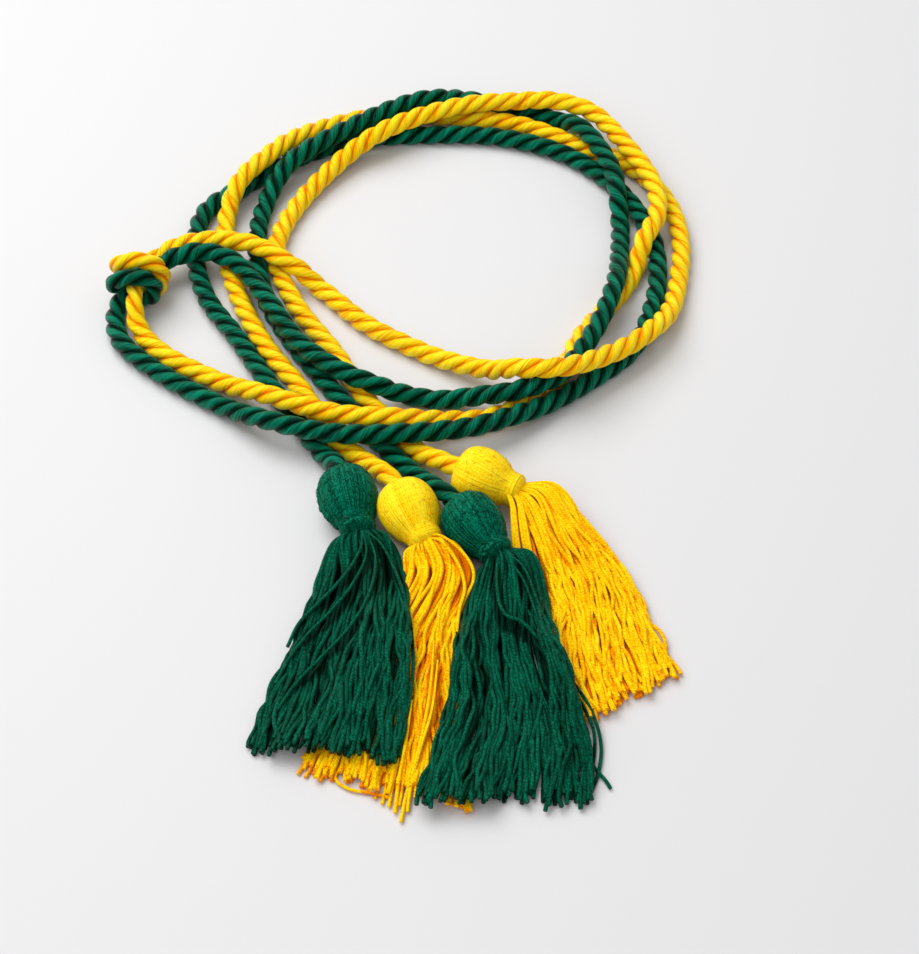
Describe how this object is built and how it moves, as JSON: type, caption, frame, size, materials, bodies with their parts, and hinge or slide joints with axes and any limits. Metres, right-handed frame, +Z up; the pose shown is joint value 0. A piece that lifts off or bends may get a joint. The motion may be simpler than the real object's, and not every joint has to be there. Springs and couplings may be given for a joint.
{
  "type": "honor cord",
  "caption": "Green and gold twisted honor cords knotted together at their middle, with a fringed tassel on every end, lying in a loose ring.",
  "frame": {"origin": "middle of the part's length and width, on the surface that it lies on", "axes": "+Z up from the surface, -Y towards the tassels' hems, +X to the right as seen by someone facing the tassels from their hems"},
  "size_m": [0.2035, 0.3216, 0.0201],
  "materials": {
    "green_cord": "satin, twisted",
    "gold_cord": "satin, twisted",
    "green_tassel": "satin, matt in the fringe",
    "gold_tassel": "satin, matt in the fringe"
  },
  "bodies": {
    "root": {"cord_green": "green_cord", "cord_gold": "gold_cord", "tassel_green_left": "green_tassel", "binding_green_left": "green_tassel", "tassel_gold_left": "gold_tassel", "binding_gold_left": "gold_tassel", "tassel_green_right": "green_tassel", "binding_green_right": "green_tassel", "tassel_gold_right": "gold_tassel", "binding_gold_right": "gold_tassel"}
  },
  "joints": []
}
